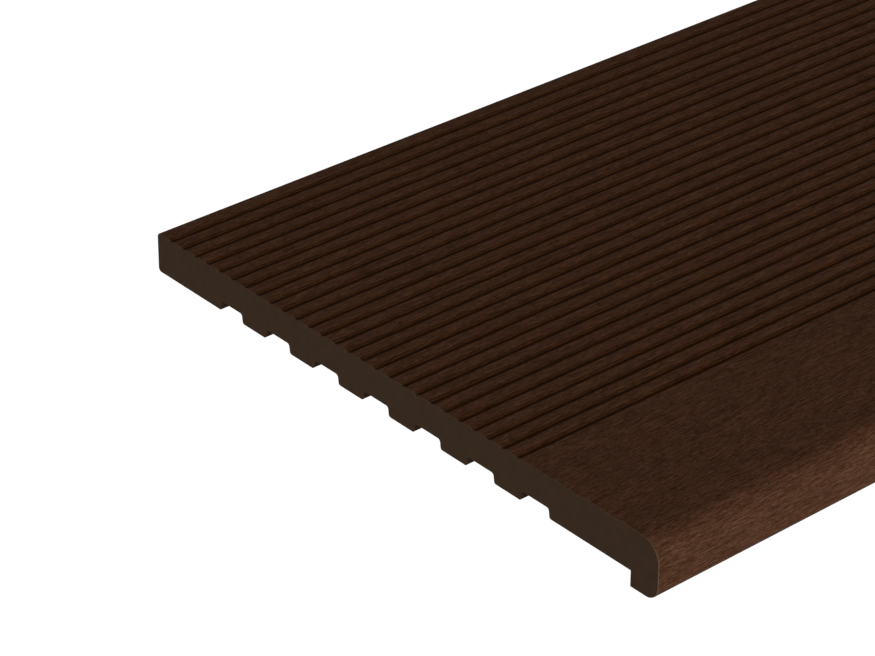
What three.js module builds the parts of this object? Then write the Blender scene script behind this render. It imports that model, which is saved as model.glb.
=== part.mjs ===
// Bullnose stair tread for spa steps, in two materials that leave the die as one length:
// a plain composite core, and a thin cap layer over its rear edge, ribbed top, nosing and lip.
//
// Millimetres, +Z up. X runs along the board, the nosing faces -Y.
// The origin is the middle of the box around the part, on the level of its lowest face.
import * as THREE from "three";

// Board
const LENGTH = 600;
const DEPTH = 346.4;
const THICKNESS = 21;
const LIP_DROP = 8;
const LIP_THICKNESS = 16.5;
const CAP_THICKNESS = 0.6;

// Rounded edges of the outline
const BULLNOSE_RADIUS = 11;
const LIP_RADIUS = 7.2;
const REAR_TOP_RADIUS = 2.2;
const REAR_BOTTOM_RADIUS = 2;

// Degrees that the cap layer goes round the lip's front corner, to end clear of its lowest face
const CAP_WRAP = 75;

// Anti-slip grooves, as a V with its short flank at the back
const GROOVE_COUNT = 27;
const GROOVE_PITCH = 9.52;
const FIRST_GROOVE = 10.45;
const GROOVE_DEPTH = 0.75;
const GROOVE_REAR_RUN = 1.65;
const GROOVE_FRONT_RUN = 2.45;
const SHALLOW_GROOVE = 22;
const SHALLOW_GROOVE_DEPTH = 0.45;

// Channels under the board, open at both ends
const CHANNEL_COUNT = 7;
const CHANNEL_PITCH = 35.6;
const CHANNEL_WIDTH = 17.9;
const CHANNEL_HEIGHT = 5;
const FIRST_CHANNEL = 49.7;
const FIRST_CHANNEL_WIDTH = 16.1;
const CHANNEL_DRAFT = 0.3;
const CHANNEL_ROUNDING = 1.3;
const CHANNEL_FILLET = 1.5;

// Steps in a quarter turn
const LARGE_ARC_STEPS = 16;
const SMALL_ARC_STEPS = 4;

const UNDERSIDE = LIP_DROP;
const TOP = UNDERSIDE + THICKNESS;
const REAR = DEPTH / 2;
const FRONT = -DEPTH / 2;
const QUARTER = Math.PI / 2;
const CAP_END = 2 * QUARTER + THREE.MathUtils.degToRad(CAP_WRAP);

// Outline points are (y, z) in the board's cross-section.
const point = (y, z) => new THREE.Vector2(y, z);

// Distances given from the rear edge, as a place on the Y axis.
const fromRear = (distance) => REAR - distance;

// Points on an arc about (y, z), from angle start to angle end, both ends included.
function arc(y, z, radius, start, end, steps) {
  const curve = new THREE.EllipseCurve(y, z, radius, radius, start, end, end < start);
  return curve.getPoints(steps);
}

function grooveDepth(number) {
  return number === SHALLOW_GROOVE ? SHALLOW_GROOVE_DEPTH : GROOVE_DEPTH;
}

// One groove: rear crest edge, bottom, front crest edge.
function groove(number, crest) {
  const bottom = fromRear(FIRST_GROOVE + (number - 1) * GROOVE_PITCH);
  return [
    point(bottom + GROOVE_REAR_RUN, crest),
    point(bottom, crest - grooveDepth(number)),
    point(bottom - GROOVE_FRONT_RUN, crest),
  ];
}

// The capped surface from the rear edge over the top and nosing to the lip, set in by a distance.
function cappedLine(inset) {
  const crest = TOP - inset;
  const numbers = Array.from({ length: GROOVE_COUNT }, (_, index) => index + 1);
  return [
    point(REAR - inset, UNDERSIDE + REAR_BOTTOM_RADIUS),
    ...arc(REAR - REAR_TOP_RADIUS, TOP - REAR_TOP_RADIUS, REAR_TOP_RADIUS - inset,
      0, QUARTER, SMALL_ARC_STEPS),
    ...numbers.flatMap((number) => groove(number, crest)),
    ...arc(FRONT + BULLNOSE_RADIUS, TOP - BULLNOSE_RADIUS, BULLNOSE_RADIUS - inset,
      QUARTER, 2 * QUARTER, LARGE_ARC_STEPS),
    ...arc(FRONT + LIP_RADIUS, LIP_RADIUS, LIP_RADIUS - inset,
      2 * QUARTER, CAP_END, LARGE_ARC_STEPS),
  ];
}

// The rest of the hanging lip, from the end of the cap layer to its lowest face and up its back.
function lip() {
  return [
    ...arc(FRONT + LIP_RADIUS, LIP_RADIUS, LIP_RADIUS, CAP_END, 3 * QUARTER, SMALL_ARC_STEPS),
    point(FRONT + LIP_THICKNESS, 0),
    point(FRONT + LIP_THICKNESS, UNDERSIDE),
  ];
}

// One channel from its front wall to its rear wall: rounded feet, filleted ceiling,
// and walls that draw in by the draft on the way up.
function channel(index) {
  const front = fromRear(FIRST_CHANNEL + FIRST_CHANNEL_WIDTH + index * CHANNEL_PITCH);
  const width = index === 0 ? FIRST_CHANNEL_WIDTH : CHANNEL_WIDTH;
  const rear = front + width;
  const ceiling = UNDERSIDE + CHANNEL_HEIGHT;
  const foot = UNDERSIDE + CHANNEL_ROUNDING;
  const fillet = ceiling - CHANNEL_FILLET;
  return [
    ...arc(front - CHANNEL_ROUNDING, foot, CHANNEL_ROUNDING, -QUARTER, 0, SMALL_ARC_STEPS),
    ...arc(front + CHANNEL_DRAFT + CHANNEL_FILLET, fillet, CHANNEL_FILLET,
      2 * QUARTER, QUARTER, SMALL_ARC_STEPS),
    ...arc(rear - CHANNEL_DRAFT - CHANNEL_FILLET, fillet, CHANNEL_FILLET,
      QUARTER, 0, SMALL_ARC_STEPS),
    ...arc(rear + CHANNEL_ROUNDING, foot, CHANNEL_ROUNDING,
      2 * QUARTER, 3 * QUARTER, SMALL_ARC_STEPS),
  ];
}

// The underside from the lip to the rear edge, with its lower rear corner.
function underside() {
  const fromTheFront = Array.from({ length: CHANNEL_COUNT }, (_, step) => CHANNEL_COUNT - 1 - step);
  return [
    ...fromTheFront.flatMap(channel),
    ...arc(REAR - REAR_BOTTOM_RADIUS, UNDERSIDE + REAR_BOTTOM_RADIUS, REAR_BOTTOM_RADIUS,
      -QUARTER, 0, SMALL_ARC_STEPS),
  ];
}

// Carries an outline along the board, with (y, z) of the outline on the Y and Z axes.
function alongTheBoard(outline) {
  const solid = new THREE.ExtrudeGeometry(new THREE.Shape(outline), {
    depth: LENGTH,
    bevelEnabled: false,
  });
  const axes = new THREE.Matrix4().makeBasis(
    new THREE.Vector3(0, 1, 0),
    new THREE.Vector3(0, 0, 1),
    new THREE.Vector3(1, 0, 0),
  );
  return solid.translate(0, 0, -LENGTH / 2).applyMatrix4(axes);
}

function treadCore() {
  const outline = [...cappedLine(CAP_THICKNESS), ...lip(), ...underside()];
  const composite = new THREE.MeshStandardMaterial({ color: 0x5c4738, roughness: 0.9, metalness: 0 });
  const core = new THREE.Mesh(alongTheBoard(outline), composite);
  core.name = "tread_core";
  return core;
}

function capLayer() {
  const outline = [...cappedLine(0), ...cappedLine(CAP_THICKNESS).reverse()];
  const skin = new THREE.MeshStandardMaterial({ color: 0x6b4230, roughness: 0.7, metalness: 0 });
  const cap = new THREE.Mesh(alongTheBoard(outline), skin);
  cap.name = "cap_layer";
  return cap;
}

const tread = new THREE.Group();
tread.add(treadCore(), capLayer());

export default tread;
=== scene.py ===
import math

import bpy
import numpy as np
from mathutils import Matrix, Vector


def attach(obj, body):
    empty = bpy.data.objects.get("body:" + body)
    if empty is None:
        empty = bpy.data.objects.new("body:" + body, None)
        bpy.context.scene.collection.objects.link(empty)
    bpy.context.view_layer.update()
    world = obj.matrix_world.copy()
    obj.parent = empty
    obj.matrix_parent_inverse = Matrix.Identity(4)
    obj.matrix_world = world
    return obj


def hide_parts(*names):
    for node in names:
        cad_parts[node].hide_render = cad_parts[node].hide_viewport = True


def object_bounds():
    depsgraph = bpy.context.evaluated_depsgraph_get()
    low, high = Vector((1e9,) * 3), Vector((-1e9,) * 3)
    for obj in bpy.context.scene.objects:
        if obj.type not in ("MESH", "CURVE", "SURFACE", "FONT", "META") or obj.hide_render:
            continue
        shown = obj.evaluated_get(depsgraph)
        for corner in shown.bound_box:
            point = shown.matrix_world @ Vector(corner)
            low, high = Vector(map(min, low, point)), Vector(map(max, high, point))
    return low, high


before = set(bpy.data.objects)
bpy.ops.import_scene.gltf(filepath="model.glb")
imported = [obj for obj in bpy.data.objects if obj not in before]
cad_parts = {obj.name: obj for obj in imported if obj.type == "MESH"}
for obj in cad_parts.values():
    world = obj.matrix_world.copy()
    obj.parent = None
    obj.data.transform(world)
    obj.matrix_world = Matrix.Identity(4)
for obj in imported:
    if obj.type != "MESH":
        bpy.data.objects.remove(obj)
cad_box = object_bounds()

MM = 0.001

# ---------------------------------------------------------------- section of the board, in mm
# The section lies in the Y-Z plane. Y runs from the rear edge (plus) to the nosing (minus).
board_low, board_high = (np.array(corner) / MM for corner in cad_box)
LEFT, RIGHT = board_low[0], board_high[0]
FRONT, REAR = board_low[1], board_high[1]
BOTTOM, TOP = board_low[2], board_high[2]

THICKNESS = 21.0
LIP_THICKNESS = 16.5
CAP_THICKNESS = 0.6
BULLNOSE_RADIUS = 11.0
LIP_RADIUS = 7.2
REAR_TOP_RADIUS = 2.2
REAR_BOTTOM_RADIUS = 2.0
CAP_WRAP = 75.0              # degrees that the cap goes round the lip's front corner
UNDERSIDE = TOP - THICKNESS

GROOVE_COUNT = 27
GROOVE_PITCH = 9.52
FIRST_GROOVE = 10.45
GROOVE_DEPTH = 0.75
GROOVE_REAR_RUN = 1.65
GROOVE_FRONT_RUN = 2.45
SHALLOW_GROOVE = 22
SHALLOW_GROOVE_DEPTH = 0.45
REAR_CREST_EASE = 0.3        # how far from its corner each crest edge behind a groove starts to round
FRONT_CREST_EASE = 0.55      # the same for each crest edge in front of a groove
VALLEY_EASE = 0.18           # the same for the bottom of each groove
REAR_FLANK_SHADE_LIFT = 0.2     # share of the grooves' skin and painted shade taken off each rear flank, which faces the key light
BRUSH_AND_SHADE_REACH = 0.1            # depth below the crests at which the brush no longer touches and the skin and painted shade are full

CHANNEL_COUNT = 7
CHANNEL_PITCH = 35.6
CHANNEL_WIDTH = 17.9
CHANNEL_HEIGHT = 5.0
FIRST_CHANNEL = 49.7
FIRST_CHANNEL_WIDTH = 16.1
CHANNEL_DRAFT = 0.3
CHANNEL_ROUNDING = 1.3
CHANNEL_FILLET = 1.5

ARRIS = 0.28                 # width of the eased edge round each saw cut
EDGE_HIGHLIGHT_ON_TOP = 0.45           # how strong the painted highlight on that edge is on the top, against 1 on the nosing front, where the key light falls
STATION_STEP = 25.0          # length of one stretch of mesh along the board
SHARP_ANGLE = 32.0           # degrees between two faces above which their edge is drawn sharp

# Steps in each arc and in each rounded groove corner
REAR_TOP_STEPS = 12
BULLNOSE_STEPS = 40
LIP_STEPS = 24
LIP_END_STEPS = 6
CHANNEL_STEPS = 8
REAR_BOTTOM_STEPS = 10
GROOVE_CORNER_STEPS = 4


def arc(y, z, radius, start, end, steps):
    """Points about (y, z) from start to end degrees, both included; radius is a number, or one for
    each point."""
    turn = np.radians(np.linspace(start, end, steps + 1))
    return np.column_stack([y + radius * np.cos(turn), z + radius * np.sin(turn)])


def eased(before, corners, after, cuts, steps):
    """A run of straight lines with each corner rounded.

    Each corner P becomes a parabola from P + cut * u to P + cut * v, where u and v are the unit
    vectors towards the corners on either side: (1-t)^2 A + 2t(1-t) P + t^2 B for t from 0 to 1.
    """
    line = np.vstack([before, corners, after])
    back = line[:-2] - corners
    ahead = line[2:] - corners
    a = corners + cuts[:, None] * back / np.linalg.norm(back, axis=1)[:, None]
    b = corners + cuts[:, None] * ahead / np.linalg.norm(ahead, axis=1)[:, None]
    t = np.linspace(0, 1, steps + 1)[None, :, None]
    curve = (1 - t) ** 2 * a[:, None] + 2 * t * (1 - t) * corners[:, None] + t ** 2 * b[:, None]
    return curve.reshape(-1, 2)


def ribbed_top(crest):
    """The grooves from the rear to the front: each a V between crests at one height, corners eased."""
    number = np.arange(1, GROOVE_COUNT + 1)
    bottom = REAR - FIRST_GROOVE - (number - 1) * GROOVE_PITCH
    depth = np.where(number == SHALLOW_GROOVE, SHALLOW_GROOVE_DEPTH, GROOVE_DEPTH)
    level = np.full(GROOVE_COUNT, crest)
    corners = np.stack([
        np.column_stack([bottom + GROOVE_REAR_RUN, level]),
        np.column_stack([bottom, level - depth]),
        np.column_stack([bottom - GROOVE_FRONT_RUN, level]),
    ], axis=1).reshape(-1, 2)
    cuts = np.tile([REAR_CREST_EASE, VALLEY_EASE, FRONT_CREST_EASE], GROOVE_COUNT)
    rear_end = [[REAR - REAR_TOP_RADIUS, crest]]
    front_end = [[FRONT + BULLNOSE_RADIUS, crest]]
    return eased(rear_end, corners, front_end, cuts, GROOVE_CORNER_STEPS)


def capped_line(inset, inset_at_ends):
    """Rear edge, rear corner, ribbed top, bullnose, nosing front and lip corner, set in by a distance
    that goes over to another one down the rear edge and round the lip corner."""
    lip_radius = LIP_RADIUS - np.linspace(inset, inset_at_ends, LIP_STEPS + 1)
    return np.vstack([
        [[REAR - inset_at_ends, UNDERSIDE + REAR_BOTTOM_RADIUS]],
        arc(REAR - REAR_TOP_RADIUS, TOP - REAR_TOP_RADIUS, REAR_TOP_RADIUS - inset,
            0, 90, REAR_TOP_STEPS),
        ribbed_top(TOP - inset),
        arc(FRONT + BULLNOSE_RADIUS, TOP - BULLNOSE_RADIUS, BULLNOSE_RADIUS - inset,
            90, 180, BULLNOSE_STEPS),
        arc(FRONT + LIP_RADIUS, BOTTOM + LIP_RADIUS, lip_radius, 180, 180 + CAP_WRAP, LIP_STEPS),
    ])


def channel(index):
    """Front wall, ceiling and rear wall of one channel, with rounded feet and filleted corners."""
    front = REAR - FIRST_CHANNEL - FIRST_CHANNEL_WIDTH - index * CHANNEL_PITCH
    rear = front + (FIRST_CHANNEL_WIDTH if index == 0 else CHANNEL_WIDTH)
    fillet = UNDERSIDE + CHANNEL_HEIGHT - CHANNEL_FILLET
    foot = UNDERSIDE + CHANNEL_ROUNDING
    inner = CHANNEL_DRAFT + CHANNEL_FILLET
    return np.vstack([
        arc(front - CHANNEL_ROUNDING, foot, CHANNEL_ROUNDING, -90, 0, CHANNEL_STEPS),
        arc(front + inner, fillet, CHANNEL_FILLET, 180, 90, CHANNEL_STEPS),
        arc(rear - inner, fillet, CHANNEL_FILLET, 90, 0, CHANNEL_STEPS),
        arc(rear + CHANNEL_ROUNDING, foot, CHANNEL_ROUNDING, 180, 270, CHANNEL_STEPS),
    ])


def bare_line():
    """The rest of the core's section: the lip's lowest face and back, the channels, the rear corner."""
    lip = np.vstack([
        arc(FRONT + LIP_RADIUS, BOTTOM + LIP_RADIUS, LIP_RADIUS, 180 + CAP_WRAP, 270, LIP_END_STEPS),
        [[FRONT + LIP_THICKNESS, BOTTOM], [FRONT + LIP_THICKNESS, UNDERSIDE]],
    ])
    rear_corner = arc(
        REAR - REAR_BOTTOM_RADIUS, UNDERSIDE + REAR_BOTTOM_RADIUS, REAR_BOTTOM_RADIUS,
        -90, 0, REAR_BOTTOM_STEPS)
    channels = [channel(index) for index in reversed(range(CHANNEL_COUNT))]
    return np.vstack([lip, *channels, rear_corner])


def board_mesh(name, rings, stations, ends, marks):
    """Joins section rings along the board: ring k lies at X = stations[k], and the point j of each
    ring is joined to the point j of the next. A ring runs anticlockwise seen from +X, and so does
    each face in ends, which close the last ring, and the first one in reverse."""
    count, around = len(rings), len(rings[0])
    points = np.concatenate([
        np.column_stack([np.full(around, x), ring]) for x, ring in zip(stations, rings)])
    ring_start = np.arange(count - 1)[:, None] * around
    here = np.arange(around)[None, :]
    there = np.roll(here, -1, axis=1)
    walls = np.stack([
        ring_start + here, ring_start + there,
        ring_start + around + there, ring_start + around + here], axis=-1).reshape(-1, 4)
    last = (count - 1) * around
    caps = [face[::-1] for face in ends] + [[index + last for index in face] for face in ends]
    mesh = bpy.data.meshes.new(name)
    mesh.from_pydata((points * MM).tolist(), [], walls.tolist() + caps)
    mesh.shade_smooth()
    mesh.set_sharp_from_angle(angle=math.radians(SHARP_ANGLE))
    for mark, (domain, values) in marks(points, len(walls), len(caps)).items():
        mesh.attributes.new(mark, "FLOAT", domain).data.foreach_set("value", values)
    piece = bpy.data.objects.new(name, mesh)
    bpy.context.scene.collection.objects.link(piece)
    return piece


inside_stations = np.linspace(
    LEFT + ARRIS, RIGHT - ARRIS, round((RIGHT - LEFT) / STATION_STEP) + 1)
cap_stations = np.concatenate([[LEFT], inside_stations, [RIGHT]])

core_ring = np.vstack([capped_line(CAP_THICKNESS, CAP_THICKNESS), bare_line()])
core_face = list(range(len(core_ring)))


def core_marks(points, walls, caps):
    """sawn is 1 on the two cut ends."""
    return {"sawn": ("FACE", np.r_[np.zeros(walls), np.ones(caps)])}


core = board_mesh("composite_core", [core_ring] * 2, [LEFT, RIGHT], [core_face], core_marks)
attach(core, "root")
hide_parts("tread_core")

# The cap is a ring between its outer and inner lines, which have the same number of points. At each
# end its outer line is drawn in by the arris, so the saw cut has an eased edge.
cap_inner = capped_line(CAP_THICKNESS, CAP_THICKNESS)[::-1]
cap_full = np.vstack([capped_line(0.0, 0.0), cap_inner])
cap_end = np.vstack([capped_line(ARRIS, 0.0), cap_inner])
line_points = len(cap_inner)
outer = np.arange(line_points - 1)
inner = 2 * line_points - 1 - outer
cap_faces = np.column_stack([outer, outer + 1, inner - 1, inner]).tolist()


def cap_marks(points, walls, caps):
    """sawn is 1 on the cut ends, and arris on their eased edge, where it paints a highlight that is
    full down the nosing front, where the key light falls. The brushing mark is 1 on the crests and
    falls to
    0 in the grooves, linearly with the depth below the crests: 0 stands for the die's darker skin and
    for painted shade in the grooves. It stops short on each groove's rear flank, which faces the key
    light."""
    y, z = points[:, 1], points[:, 2]
    depth = TOP - z
    ribbed = (y < REAR - REAR_TOP_RADIUS) & (y > FRONT + BULLNOSE_RADIUS)
    groove = (REAR - FIRST_GROOVE - y) / GROOVE_PITCH
    rear_flank = groove < np.round(groove)
    # 0 in the grooves paints the die's darker skin and painted shade there; the rear flank, which faces
    # the key light, has a share of it taken off.
    rear_flank_lift = np.where(rear_flank, REAR_FLANK_SHADE_LIFT, 0)
    unbrushed_and_shaded = np.clip(depth / BRUSH_AND_SHADE_REACH, 0, 1) * ribbed * (1 - rear_flank_lift)
    strips = line_points - 1
    # The eased edge is painted paler as a highlight, most down the nosing front, where the key light
    # falls.
    down_the_nosing = np.clip(depth[:strips] / BULLNOSE_RADIUS, 0, 1)
    edge_highlight = EDGE_HIGHLIGHT_ON_TOP + (1 - EDGE_HIGHLIGHT_ON_TOP) * down_the_nosing
    last_ring = walls - 2 * line_points
    edge = np.zeros(walls)
    edge[:strips] = edge_highlight
    edge[last_ring:last_ring + strips] = edge_highlight
    return {
        "brushed_and_unshaded": ("POINT", 1 - unbrushed_and_shaded),
        "arris": ("FACE", np.r_[edge, np.zeros(caps)]),
        "sawn": ("FACE", np.r_[np.zeros(walls), np.ones(caps)]),
    }


cap_rings = [cap_end] + [cap_full] * len(inside_stations) + [cap_end]
cap = board_mesh("brushed_cap", cap_rings, cap_stations, cap_faces, cap_marks)
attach(cap, "root")
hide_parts("cap_layer")


# ---------------------------------------------------------------- materials
# Marks in each finish: length along the board and width across it, in mm.
RESIN_CLOUDS = (5.0, 5.0)
WOOD_FLOUR = (0.45, 0.45)
DRAWN_LINES = (180.0, 0.9)
FIBRES = (2.6, 0.42)
STREAKS = (9.0, 0.5)
DASHES = (8.0, 0.75)
FLECKS = (1.7, 1.3)
TONES = (32.0, 9.0)
BRUSH_TURNS = (30.0, 12.0)
BRUSH_WANDER = 0.6           # mm to each side

# Linear RGB that the brushed colour is multiplied by
DARK_TONE = (0.92, 0.91, 0.92, 1)
LIGHT_TONE = (1.08, 1.09, 1.07, 1)
# the die's darker skin in the grooves and the painted shade there, in one tint
UNBRUSHED_SKIN_AND_SHADE = (0.41, 0.34, 0.15, 1)

# Both finishes are too dull to show a highlight: a higher level only lays grey over their browns.
SPECULAR_LEVEL = 0.02


def linear(code):
    """An sRGB hex colour as linear RGBA."""
    channels = np.array([int(code[i:i + 2], 16) for i in (1, 3, 5)]) / 255
    low = channels / 12.92
    high = ((channels + 0.055) / 1.055) ** 2.4
    return (*np.where(channels <= 0.04045, low, high).tolist(), 1.0)


def add_node(tree, kind, inputs=None, stops=(), **settings):
    """Adds one node, with its settings and its inputs, each a value or the output that feeds it.

    stops are the (position, RGBA) of a colour ramp. A socket goes by its name, or by its number
    where several share a name: a Mix node's A and B are 2 and 3 for numbers, 6 and 7 for colours.
    """
    node = tree.nodes.new(kind)
    for name, value in settings.items():
        setattr(node, name, value)
    for socket, value in (inputs or {}).items():
        if isinstance(value, bpy.types.NodeSocket):
            tree.links.new(value, node.inputs[socket])
        else:
            node.inputs[socket].default_value = value
    if stops:
        elements = node.color_ramp.elements
        for _ in stops[2:]:
            elements.new(0.5)
        for element, (position, colour) in zip(elements, stops):
            element.position = position
            element.color = colour
    return node


def new_material(name):
    """An empty material's node tree with its shader joined to its output."""
    material = bpy.data.materials.new(name)
    material.use_nodes = True
    tree = material.node_tree
    tree.nodes.clear()
    shader = add_node(tree, "ShaderNodeBsdfPrincipled")
    add_node(tree, "ShaderNodeOutputMaterial", {"Surface": shader.outputs["BSDF"]})
    return material, tree, shader


def grain(tree, coordinates, size, detail, roughness=0.5, output="Fac"):
    """Noise drawn out along the board, for marks of one (length, width) in mm: one value from 0 to
    1, or three of them by the output "Color"."""
    along, across = (1 / (side * MM) for side in size)
    stretched = add_node(tree, "ShaderNodeMapping", {
        "Vector": coordinates, "Scale": (along, across, across)})
    return add_node(tree, "ShaderNodeTexNoise", {
        "Vector": stretched.outputs["Vector"], "Scale": 1.0, "Detail": detail,
        "Roughness": roughness}).outputs[output]


def sawn_colour(tree, place):
    """Sawn composite: olive brown resin with soft mottling and pale and dark specks of wood flour.
    Gives the colour, and the flour as 0 to 1."""
    cloud = grain(tree, place, RESIN_CLOUDS, 3.0, 0.6)
    resin = add_node(tree, "ShaderNodeValToRGB", {"Fac": cloud}, stops=[
        (0.3, linear("#3C2D20")),
        (0.7, linear("#423124")),
    ])
    flour = grain(tree, place, WOOD_FLOUR, 1.0)
    pale = add_node(tree, "ShaderNodeMapRange", {
        "Value": flour, "From Min": 0.62, "From Max": 0.74, "To Max": 0.35})
    with_pale = add_node(tree, "ShaderNodeMix", {
        "Factor": pale.outputs[0], 6: resin.outputs["Color"], 7: linear("#4E3B2C")}, data_type="RGBA")
    dark = add_node(tree, "ShaderNodeMapRange", {
        "Value": flour, "From Min": 0.36, "From Max": 0.26, "To Max": 0.35})
    with_dark = add_node(tree, "ShaderNodeMix", {
        "Factor": dark.outputs[0], 6: with_pale.outputs[2], 7: linear("#2E221A")}, data_type="RGBA")
    return with_dark.outputs[2], flour


def composite_core():
    """Extruded wood-plastic composite, cut with a saw at the ends.

    The die leaves the long faces smoother, with fine drawn lines along the board; these faces, all on
    the underside, are coloured darker than the ends. The saw leaves the ends dull, with soft mottling
    and specks of wood flour.
    """
    material, tree, shader = new_material("extruded_wood_plastic_composite")
    place = add_node(tree, "ShaderNodeTexCoord").outputs["Object"]
    sawn = add_node(tree, "ShaderNodeAttribute", attribute_name="sawn").outputs["Fac"]
    cut, flour = sawn_colour(tree, place)
    lines = grain(tree, place, DRAWN_LINES, 3.0, 0.6)
    drawn = add_node(tree, "ShaderNodeValToRGB", {"Fac": lines}, stops=[
        (0.3, linear("#2B1F14")),
        (0.7, linear("#34261C")),
    ])
    colour = add_node(tree, "ShaderNodeMix", {
        "Factor": sawn, 6: drawn.outputs["Color"], 7: cut}, data_type="RGBA")
    rough = add_node(tree, "ShaderNodeMapRange", {"Value": flour, "To Min": 0.72, "To Max": 0.92})
    relief = add_node(tree, "ShaderNodeMix", {"Factor": sawn, 2: lines, 3: flour})
    bump = add_node(tree, "ShaderNodeBump", {
        "Height": relief.outputs[0], "Strength": 0.25, "Distance": 0.1 * MM})
    tree.links.new(colour.outputs[2], shader.inputs["Base Color"])
    tree.links.new(rough.outputs[0], shader.inputs["Roughness"])
    tree.links.new(bump.outputs["Normal"], shader.inputs["Normal"])
    shader.inputs["Specular IOR Level"].default_value = SPECULAR_LEVEL
    return material


def brushed_cap():
    """Coextruded wood-plastic cap, brushed along the board with a wire brush.

    The brush breaks the skin into fine fibres about 0.5 mm wide and 3 to 10 mm long, leaves it dull,
    and bares a few olive flecks of wood flour about 1 mm across. The grooves below its reach keep
    the die's darker, smoother skin, and their colour is darkened further as painted shade.
    """
    material, tree, shader = new_material("brushed_coextruded_wood_plastic")
    place = add_node(tree, "ShaderNodeTexCoord").outputs["Object"]
    sawn = add_node(tree, "ShaderNodeAttribute", attribute_name="sawn").outputs["Fac"]
    arris = add_node(tree, "ShaderNodeAttribute", attribute_name="arris").outputs["Fac"]
    # 1 on the brushed crests, 0 in the grooves, which take the die's skin and painted shade.
    brushed_and_unshaded = add_node(tree, "ShaderNodeAttribute", attribute_name="brushed_and_unshaded").outputs["Fac"]

    # The brush wanders to each side on its way.
    wander = grain(tree, place, BRUSH_TURNS, 1.0, output="Color")
    reach = BRUSH_WANDER * MM
    shift = add_node(tree, "ShaderNodeVectorMath", {
        0: wander, 1: (0.0, 2 * reach, 2 * reach), 2: (0.0, -reach, -reach),
    }, operation="MULTIPLY_ADD")
    path = add_node(tree, "ShaderNodeVectorMath", {0: place, 1: shift.outputs[0]}).outputs[0]

    fibre = grain(tree, path, FIBRES, 2.5, 0.6)
    streak = grain(tree, path, STREAKS, 2.0, 0.6)
    tone = grain(tree, path, TONES, 2.0)
    level = add_node(tree, "ShaderNodeMix", {"Factor": 0.5, 2: fibre, 3: streak}).outputs[0]
    fibres = add_node(tree, "ShaderNodeValToRGB", {"Fac": level}, stops=[
        (0.395, linear("#2B170C")),
        (0.50, linear("#3A2417")),
        (0.605, linear("#493124")),
    ])
    dash = add_node(tree, "ShaderNodeMapRange", {
        "Value": grain(tree, path, DASHES, 1.0), "From Min": 0.66, "From Max": 0.76, "To Max": 0.6})
    dashed = add_node(tree, "ShaderNodeMix", {
        "Factor": dash.outputs[0], 6: fibres.outputs["Color"], 7: linear("#1F120B")}, data_type="RGBA")
    shade = add_node(tree, "ShaderNodeValToRGB", {"Fac": tone}, stops=[
        (0.3, DARK_TONE),
        (0.7, LIGHT_TONE),
    ])
    fleck = add_node(tree, "ShaderNodeMapRange", {
        "Value": grain(tree, path, FLECKS, 0.0), "From Min": 0.74, "From Max": 0.79, "To Max": 0.75})
    flecked = add_node(tree, "ShaderNodeMix", {
        "Factor": fleck.outputs[0], 6: dashed.outputs[2], 7: linear("#2A2215")}, data_type="RGBA")
    wood = add_node(tree, "ShaderNodeMix", {
        "Factor": 1.0, 6: flecked.outputs[2], 7: shade.outputs["Color"],
    }, data_type="RGBA", blend_type="MULTIPLY")
    # The grooves take the die's darker skin and painted shade in one tint, less on each rear flank,
    # which faces the key light.
    skin_and_shade = add_node(tree, "ShaderNodeMix", {
        "Factor": 1.0, 6: wood.outputs[2], 7: UNBRUSHED_SKIN_AND_SHADE,
    }, data_type="RGBA", blend_type="MULTIPLY")
    surface = add_node(tree, "ShaderNodeMix", {
        "Factor": brushed_and_unshaded, 6: skin_and_shade.outputs[2], 7: wood.outputs[2]}, data_type="RGBA")
    # Painted highlight: the eased edge of each cut end is painted paler, most down the nosing front,
    # where the key light falls.
    edge_highlighted = add_node(tree, "ShaderNodeMix", {
        "Factor": arris, 6: surface.outputs[2], 7: linear("#524135")}, data_type="RGBA")
    cut, _ = sawn_colour(tree, place)
    colour = add_node(tree, "ShaderNodeMix", {
        "Factor": sawn, 6: edge_highlighted.outputs[2], 7: cut}, data_type="RGBA")
    rough = add_node(tree, "ShaderNodeMapRange", {"Value": level, "To Min": 0.95, "To Max": 0.62})
    relief = add_node(tree, "ShaderNodeMath", {0: level, 1: brushed_and_unshaded}, operation="MULTIPLY")
    bump = add_node(tree, "ShaderNodeBump", {
        "Height": relief.outputs[0], "Strength": 0.35, "Distance": 0.2 * MM})
    tree.links.new(colour.outputs[2], shader.inputs["Base Color"])
    tree.links.new(rough.outputs[0], shader.inputs["Roughness"])
    tree.links.new(bump.outputs["Normal"], shader.inputs["Normal"])
    shader.inputs["Specular IOR Level"].default_value = SPECULAR_LEVEL
    return material


core.data.materials.append(composite_core())
cap.data.materials.append(brushed_cap())

# ---------------------------------------------------------------- studio
TABLE_LIGHT = 1.05           # a light table, which makes the floor plain white with no shadow on it
SKY_LIGHT = 0.25
TABLE_SIZE = 24.0            # this and the distances and sizes below are in metres
TABLE_GAP = 0.2 * MM         # between the table and the lip's lowest face
KEY_ELEVATION = 27.0         # degrees, straight in front of the nosing
KEY_DISTANCE = 8.0
KEY_SIZE = 3.6
KEY_POWER = 815.0            # watts

scene = bpy.context.scene
world = bpy.data.worlds.new("studio")
scene.world = world
world.use_nodes = True
background = world.node_tree.nodes["Background"]
background.inputs["Color"].default_value = (1, 1, 1, 1)
background.inputs["Strength"].default_value = SKY_LIGHT


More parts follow.
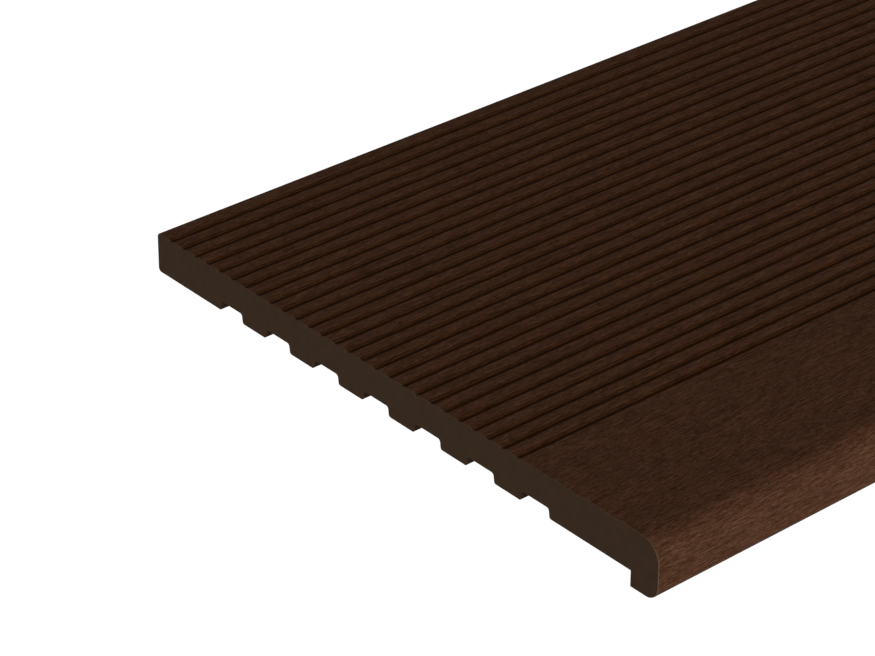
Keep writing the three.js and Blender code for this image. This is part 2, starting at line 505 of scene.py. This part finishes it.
def light_table():
    """A plain white floor that glows upward and can't be seen from below."""
    half = TABLE_SIZE / 2
    corners = [(-half, -half, -TABLE_GAP), (half, -half, -TABLE_GAP),
               (half, half, -TABLE_GAP), (-half, half, -TABLE_GAP)]
    mesh = bpy.data.meshes.new("light_table")
    mesh.from_pydata(corners, [], [(0, 1, 2, 3)])
    material = bpy.data.materials.new("light_table")
    material.use_nodes = True
    tree = material.node_tree
    tree.nodes.clear()
    glow = add_node(tree, "ShaderNodeEmission", {"Strength": TABLE_LIGHT})
    clear = add_node(tree, "ShaderNodeBsdfTransparent")
    below = add_node(tree, "ShaderNodeNewGeometry").outputs["Backfacing"]
    both = add_node(tree, "ShaderNodeMixShader", {0: below, 1: glow.outputs[0], 2: clear.outputs[0]})
    add_node(tree, "ShaderNodeOutputMaterial", {"Surface": both.outputs[0]})
    mesh.materials.append(material)
    table = bpy.data.objects.new("light_table", mesh)
    scene.collection.objects.link(table)


def direction(azimuth, elevation):
    """The unit vector at an azimuth from -Y towards -X and an elevation, both in degrees."""
    turn, rise = math.radians(azimuth), math.radians(elevation)
    return Vector((-math.sin(turn) * math.cos(rise), -math.cos(turn) * math.cos(rise), math.sin(rise)))


def placed(centre, way, distance, roll=0.0):
    """The matrix of a lamp or camera that looks at centre from a distance along way, with a roll in
    degrees."""
    return (
        Matrix.Translation(centre + way * distance)
        @ way.to_track_quat("Z", "Y").to_matrix().to_4x4()
        @ Matrix.Rotation(math.radians(roll), 4, "Z"))


def softbox(name, azimuth, elevation, distance, size, power):
    """A square area light aimed at the origin."""
    light = bpy.data.lights.new(name, "AREA")
    light.shape = "SQUARE"
    light.size = size
    light.energy = power
    lamp = bpy.data.objects.new(name, light)
    lamp.matrix_world = placed(Vector(), direction(azimuth, elevation), distance)
    scene.collection.objects.link(lamp)


light_table()
softbox("key_softbox", 0.0, KEY_ELEVATION, KEY_DISTANCE, KEY_SIZE, KEY_POWER)

# ---------------------------------------------------------------- camera
CAMERA_AZIMUTH = 40.4706     # degrees from -Y towards -X
CAMERA_ELEVATION = 30.7231
CAMERA_ROLL = 0.034
CAMERA_DISTANCE = 1.509824
CAMERA_TARGET = Vector((-0.256295, 0.018292, 0.02914))
CAMERA_LENS = 136.8142       # mm, on a sensor as wide as the next value
CAMERA_SENSOR = 36.0

camera_data = bpy.data.cameras.new("camera")
camera_data.sensor_width = CAMERA_SENSOR
camera_data.lens = CAMERA_LENS
camera = bpy.data.objects.new("camera", camera_data)
camera.matrix_world = placed(
    CAMERA_TARGET, direction(CAMERA_AZIMUTH, CAMERA_ELEVATION), CAMERA_DISTANCE, CAMERA_ROLL)
scene.collection.objects.link(camera)
scene.camera = camera
scene.view_settings.view_transform = "Standard"
